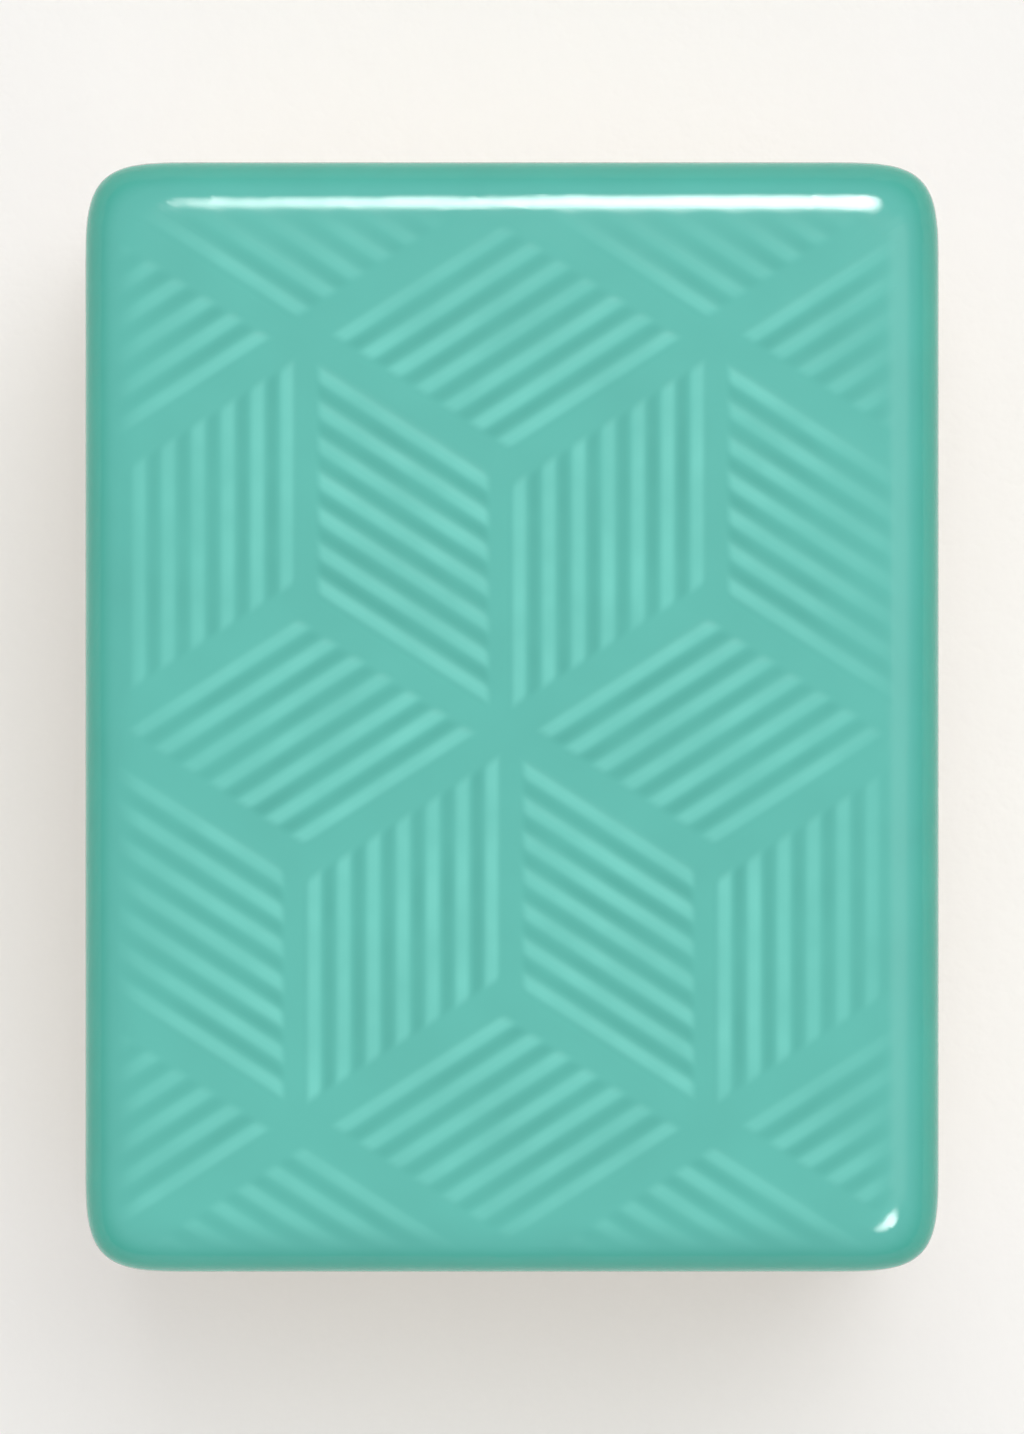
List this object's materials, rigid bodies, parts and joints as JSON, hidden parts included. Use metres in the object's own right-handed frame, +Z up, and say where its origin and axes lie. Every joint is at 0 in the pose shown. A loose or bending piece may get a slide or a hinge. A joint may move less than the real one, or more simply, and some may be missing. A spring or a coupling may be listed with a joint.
{
  "type": "mahjong tile",
  "caption": "Mahjong tile lying face down: turquoise back with a ridged tumbling-block relief, bonded to an ivory face slab engraved with painted circles.",
  "frame": {"origin": "middle of the engraved face, in the plane of the table that the tile lies on", "axes": "+Z up out of the ridged back, +Y along the tile's length, +X across its width"},
  "size_m": [0.02, 0.026, 0.016],
  "materials": {
    "back_melamine": "pressed turquoise melamine resin, tumble polished",
    "face_melamine": "pressed ivory melamine resin, tumble polished",
    "paint_blue": "blue enamel, brushed into the engraving",
    "paint_red": "red enamel, brushed into the engraving",
    "paint_green": "green enamel, brushed into the engraving"
  },
  "bodies": {
    "root": {"back_slab": "back_melamine", "face_slab": "face_melamine", "paint_ring_1": "paint_blue", "paint_ring_2": "paint_blue", "paint_ring_3": "paint_blue", "paint_ring_4": "paint_red", "paint_ring_5": "paint_red", "paint_ring_6": "paint_red", "paint_ring_7": "paint_green", "paint_ring_8": "paint_green", "paint_ring_9": "paint_green", "paint_core_1": "paint_blue", "paint_core_2": "paint_blue", "paint_core_3": "paint_blue", "paint_core_4": "paint_red", "paint_core_5": "paint_red", "paint_core_6": "paint_red", "paint_core_7": "paint_green", "paint_core_8": "paint_green", "paint_core_9": "paint_green"}
  },
  "joints": []
}
